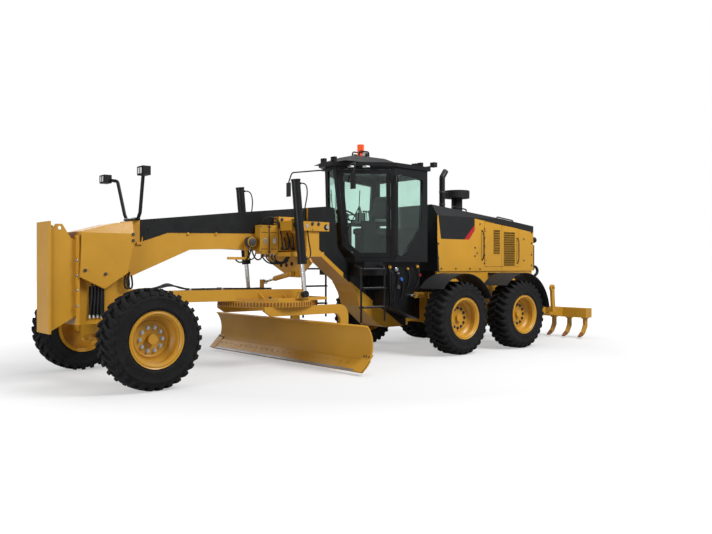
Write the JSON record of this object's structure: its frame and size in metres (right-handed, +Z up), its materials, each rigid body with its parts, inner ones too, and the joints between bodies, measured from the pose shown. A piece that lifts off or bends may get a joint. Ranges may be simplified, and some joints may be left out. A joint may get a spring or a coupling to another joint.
{
  "type": "motor grader",
  "caption": "Yellow and black articulated motor grader with push plate, four metre blade, enclosed cab, tandem rear axle and rear ripper.",
  "frame": {"origin": "on the ground under the middle of the machine", "axes": "+X forward, +Y to the machine's left, +Z up"},
  "size_m": [10.885, 4.27, 3.7049],
  "materials": {
    "yellow_paint": "satin",
    "black_paint": "satin",
    "tyre_rubber": "matte",
    "chrome": "polished",
    "cab_glass": "polished",
    "black_plastic": "matte",
    "seat_cloth": "matte",
    "beacon_lens": "polished",
    "machined_steel": "matte"
  },
  "bodies": {
    "front_frame": {"main_frame": "yellow_paint", "push_plate": "yellow_paint", "front_axle": "yellow_paint", "front_lamps": "black_paint", "lift_saddle": "yellow_paint", "beam_cover": "black_paint", "mirrors": "black_paint", "cab_base": "black_paint", "side_steps": "black_paint", "cab_shell": "black_paint", "cab_glass": "cab_glass", "cab_roof": "black_paint", "beacon": "beacon_lens", "seat": "seat_cloth", "cab_controls": "black_plastic"},
    "rear_frame": {"rear_frame": "yellow_paint", "engine_block": "machined_steel", "tandem_cases": "yellow_paint", "hood": "yellow_paint", "exhaust_stack": "black_paint", "air_cleaner": "black_plastic", "fenders": "black_plastic"},
    "lean_left": {"lean_carrier_left": "yellow_paint"},
    "lean_right": {"lean_carrier_right": "yellow_paint"},
    "knuckle_left": {"knuckle_left": "yellow_paint"},
    "knuckle_right": {"knuckle_right": "yellow_paint"},
    "tie_rod": {"tie_rod": "yellow_paint"},
    "tie_stud": {"tie_stud": "machined_steel"},
    "drawbar": {"drawbar": "yellow_paint"},
    "circle": {"circle": "yellow_paint"},
    "blade_carrier": {"blade_carrier": "yellow_paint"},
    "blade": {"blade": "yellow_paint"},
    "lift_barrel_left": {"lift_barrel_left": "black_paint"},
    "lift_barrel_right": {"lift_barrel_right": "black_paint"},
    "lift_rod_left": {"lift_rod_left": "chrome"},
    "lift_rod_right": {"lift_rod_right": "chrome"},
    "shift_barrel": {"shift_barrel": "yellow_paint"},
    "shift_rod": {"shift_rod": "chrome"},
    "door_left": {"door_left": "black_paint", "door_glass_left": "cab_glass"},
    "door_right": {"door_right": "black_paint", "door_glass_right": "cab_glass"},
    "hood_lid_left": {"hood_lid_left": "yellow_paint"},
    "hood_lid_right": {"hood_lid_right": "yellow_paint"},
    "ripper": {"ripper": "yellow_paint"},
    "ripper_barrel": {"ripper_barrel": "yellow_paint"},
    "ripper_rod": {"ripper_rod": "chrome"},
    "wheel_front_left": {"tyre_front_left": "tyre_rubber", "rim_front_left": "yellow_paint"},
    "wheel_front_right": {"tyre_front_right": "tyre_rubber", "rim_front_right": "yellow_paint"},
    "wheel_middle_left": {"tyre_middle_left": "tyre_rubber", "rim_middle_left": "yellow_paint"},
    "wheel_middle_right": {"tyre_middle_right": "tyre_rubber", "rim_middle_right": "yellow_paint"},
    "wheel_rear_left": {"tyre_rear_left": "tyre_rubber", "rim_rear_left": "yellow_paint"},
    "wheel_rear_right": {"tyre_rear_right": "tyre_rubber", "rim_rear_right": "yellow_paint"}
  },
  "joints": [
    {"name": "articulation", "type": "hinge", "parent": "front_frame", "child": "rear_frame", "pos_m": [-1.075, 0, 0.6], "axis": [0, 0, 1], "range_deg": [-20, 20]},
    {"name": "lean_left", "type": "hinge", "parent": "front_frame", "child": "lean_left", "pos_m": [4.53, 0.85, 0.64], "axis": [-1, 0, 0], "range_deg": [-18, 18]},
    {"name": "lean_right", "type": "hinge", "parent": "front_frame", "child": "lean_right", "pos_m": [4.53, -0.85, 0.64], "axis": [-1, 0, 0], "range_deg": [-18.2, 18.2]},
    {"name": "steer_left", "type": "hinge", "parent": "lean_left", "child": "knuckle_left", "pos_m": [4.53, 0.99, 0.64], "axis": [0, 0, 1], "range_deg": [-47.5, 47.5]},
    {"name": "steer_right", "type": "hinge", "parent": "lean_right", "child": "knuckle_right", "pos_m": [4.53, -0.99, 0.64], "axis": [0, 0, 1], "range_deg": [-47.7, 47.7]},
    {"name": "tie_stud_turn", "type": "hinge", "parent": "knuckle_left", "child": "tie_stud", "pos_m": [4.39, 0.99, 0.49], "axis": [0, 0, 1], "range_deg": [-47.8, 47.8]},
    {"name": "tie_rod_level", "type": "hinge", "parent": "tie_stud", "child": "tie_rod", "pos_m": [4.39, 0.99, 0.408], "axis": [-1, 0, 0], "range_deg": [-16, 16]},
    {"name": "wheel_front_left_spin", "type": "hinge", "parent": "knuckle_left", "child": "wheel_front_left", "pos_m": [4.53, 1.23, 0.64], "axis": [0, 1, 0], "continuous": true},
    {"name": "wheel_front_right_spin", "type": "hinge", "parent": "knuckle_right", "child": "wheel_front_right", "pos_m": [4.53, -1.23, 0.64], "axis": [0, 1, 0], "continuous": true},
    {"name": "wheel_middle_left_spin", "type": "hinge", "parent": "rear_frame", "child": "wheel_middle_left", "pos_m": [-1.185, 1.23, 0.64], "axis": [0, 1, 0], "continuous": true},
    {"name": "wheel_middle_right_spin", "type": "hinge", "parent": "rear_frame", "child": "wheel_middle_right", "pos_m": [-1.185, -1.23, 0.64], "axis": [0, 1, 0], "continuous": true},
    {"name": "wheel_rear_left_spin", "type": "hinge", "parent": "rear_frame", "child": "wheel_rear_left", "pos_m": [-2.865, 1.23, 0.64], "axis": [0, 1, 0], "continuous": true},
    {"name": "wheel_rear_right_spin", "type": "hinge", "parent": "rear_frame", "child": "wheel_rear_right", "pos_m": [-2.865, -1.23, 0.64], "axis": [0, 1, 0], "continuous": true},
    {"name": "drawbar_lift", "type": "hinge", "parent": "front_frame", "child": "drawbar", "pos_m": [4.125, 0, 1.11], "axis": [0, 1, 0], "range_deg": [-10, 10]},
    {"name": "lift_barrel_left", "type": "hinge", "parent": "front_frame", "child": "lift_barrel_left", "pos_m": [1.908, 0.8, 2.18], "axis": [0, 1, 0], "range_deg": [-5, 5]},
    {"name": "lift_rod_left", "type": "slide", "parent": "lift_barrel_left", "child": "lift_rod_left", "axis": [-0.0967, 0, -0.9953], "range_m": [-0.42, 0.42]},
    {"name": "lift_barrel_right", "type": "hinge", "parent": "front_frame", "child": "lift_barrel_right", "pos_m": [1.908, -0.8, 2.18], "axis": [0, 1, 0], "range_deg": [-5, 5]},
    {"name": "lift_rod_right", "type": "slide", "parent": "lift_barrel_right", "child": "lift_rod_right", "axis": [-0.0967, 0, -0.9953], "range_m": [-0.42, 0.42]},
    {"name": "shift_barrel", "type": "hinge", "parent": "front_frame", "child": "shift_barrel", "pos_m": [1.675, 0.27, 1.43], "axis": [1, 0, 0], "range_deg": [-40, 40]},
    {"name": "shift_rod", "type": "slide", "parent": "shift_barrel", "child": "shift_rod", "axis": [0, -0.9835, -0.1812], "range_m": [-0.12, 0.12]},
    {"name": "circle_turn", "type": "hinge", "parent": "drawbar", "child": "circle", "pos_m": [1.945, 0, 0.97], "axis": [0, 0, 1], "range_deg": [-40, 20]},
    {"name": "blade_tip", "type": "hinge", "parent": "circle", "child": "blade_carrier", "pos_m": [1.34, 0, 0.33], "axis": [0, 1, 0], "range_deg": [-5, 40]},
    {"name": "blade_shift", "type": "slide", "parent": "blade_carrier", "child": "blade", "axis": [0, 1, 0], "range_m": [-0.51, 0.66]},
    {"name": "door_left", "type": "hinge", "parent": "front_frame", "child": "door_left", "pos_m": [-0.0889, 0.7199, 2.4], "axis": [0, 0, 1], "range_deg": [0, 90]},
    {"name": "hood_lid_left", "type": "hinge", "parent": "rear_frame", "child": "hood_lid_left", "pos_m": [-2.687, 0.632, 1.97], "axis": [0, 0, -1], "range_deg": [0, 100]},
    {"name": "door_right", "type": "hinge", "parent": "front_frame", "child": "door_right", "pos_m": [-0.0889, -0.7199, 2.4], "axis": [0, 0, -1], "range_deg": [0, 90]},
    {"name": "hood_lid_right", "type": "hinge", "parent": "rear_frame", "child": "hood_lid_right", "pos_m": [-2.687, -0.632, 1.97], "axis": [0, 0, 1], "range_deg": [0, 100]},
    {"name": "ripper_lift", "type": "hinge", "parent": "rear_frame", "child": "ripper", "pos_m": [-4.48, 0, 0.64], "axis": [0, 1, 0], "range_deg": [-12, 25]},
    {"name": "ripper_barrel", "type": "hinge", "parent": "rear_frame", "child": "ripper_barrel", "pos_m": [-4.45, 0, 1.23], "axis": [0, 1, 0], "range_deg": [-30, 30]},
    {"name": "ripper_rod", "type": "slide", "parent": "ripper_barrel", "child": "ripper_rod", "axis": [-0.8014, 0, -0.5981], "range_m": [-0.26, 0.26]}
  ],
  "couplings": [
    {"joint": "lean_right", "follows": "lean_left", "ratio": 1},
    {"joint": "steer_right", "follows": "steer_left", "ratio": 1},
    {"joint": "tie_stud_turn", "follows": "steer_left", "ratio": -1},
    {"joint": "tie_rod_level", "follows": "lean_left", "ratio": -0.86},
    {"joint": "lift_barrel_left", "follows": "drawbar_lift", "ratio": 0.1587},
    {"joint": "lift_rod_left", "follows": "drawbar_lift", "m_per_rad": -2.3045},
    {"joint": "lift_barrel_right", "follows": "drawbar_lift", "ratio": 0.1587},
    {"joint": "lift_rod_right", "follows": "drawbar_lift", "m_per_rad": -2.3045},
    {"joint": "shift_barrel", "follows": "drawbar_lift", "ratio": -2.8967},
    {"joint": "shift_rod", "follows": "drawbar_lift", "m_per_rad": -0.4023},
    {"joint": "ripper_barrel", "follows": "ripper_lift", "ratio": 0.56},
    {"joint": "ripper_rod", "follows": "ripper_lift", "m_per_rad": -0.4819}
  ]
}
